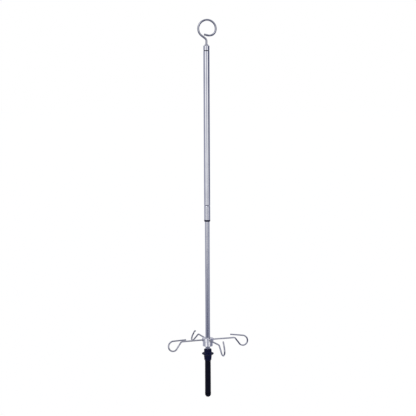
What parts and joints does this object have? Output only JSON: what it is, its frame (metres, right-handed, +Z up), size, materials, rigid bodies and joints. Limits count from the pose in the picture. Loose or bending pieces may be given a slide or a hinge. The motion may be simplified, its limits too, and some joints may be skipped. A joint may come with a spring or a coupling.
{
  "type": "telescopic iv hanger",
  "caption": "Ceiling-hung telescopic IV hanger: a wire eye on top, two sliding tubes, a hub with bent safety hooks for infusion bags, a flanged release collar and a hand grip.",
  "frame": {"origin": "the highest point inside the wire eye, on the tubes' axis, where a trolley hook carries the hanger", "axes": "+Z up along the tubes; the eye lies in the XZ plane; +Y is away from the side that the picture shows"},
  "size_m": [0.2373, 0.2415, 1.1028],
  "materials": {
    "eye_wire": "polished stainless wire",
    "cap_steel": "turned and polished stainless",
    "tube_steel": "polished stainless tube, faint lengthwise grain",
    "inner_steel": "polished stainless tube, faint lengthwise grain",
    "hub_chrome": "turned, bright plated",
    "hook_wire": "polished stainless wire",
    "hidden_steel": "plain machined steel",
    "dark_screw": "black oxide",
    "spring_steel": "spring wire",
    "black_nylon": "black nylon, slight sheen",
    "white_nylon": "natural nylon",
    "collar_plastic": "moulded black plastic, fine texture",
    "grip_rubber": "smooth soft vinyl, satin"
  },
  "bodies": {
    "hanger": {"hanging_loop": "eye_wire", "top_cap": "cap_steel", "shank_washer": "hidden_steel", "shank_nut": "hidden_steel"},
    "outer_body": {"swivel_washer": "black_nylon", "outer_tube": "tube_steel", "top_plug": "hidden_steel", "plug_pins": "hidden_steel", "end_ferrule": "tube_steel", "guide_bush": "black_nylon"},
    "slide": {"inner_tube": "inner_steel", "glide_ring": "white_nylon", "brake_cone": "hidden_steel", "cone_pins": "hidden_steel", "spring_seat": "hidden_steel", "seat_pin": "hidden_steel", "hook_hub": "hub_chrome", "hub_screws": "dark_screw", "hook_right": "hook_wire", "hook_back": "hook_wire", "hook_left": "hook_wire", "hook_front": "hook_wire", "grip": "grip_rubber", "return_spring": "spring_steel"},
    "release": {"brake_sleeve": "white_nylon", "sleeve_pin": "hidden_steel", "release_rod": "hidden_steel", "rod_foot": "hidden_steel", "collar_pin": "hidden_steel", "release_collar": "collar_plastic"}
  },
  "joints": [
    {"name": "eye_swivel", "type": "hinge", "parent": "hanger", "child": "outer_body", "pos_m": [0, 0, -0.094], "axis": [0, 0, 1], "continuous": true},
    {"name": "telescope", "type": "slide", "parent": "outer_body", "child": "slide", "axis": [0, 0, 1], "range_m": [-0.0165, 0.33]},
    {"name": "release_pull", "type": "slide", "parent": "slide", "child": "release", "axis": [0, 0, -1], "range_m": [0, 0.005], "stiffness_N_per_m": 1500, "springref_m": -0.004, "deforming": ["return_spring"]}
  ]
}
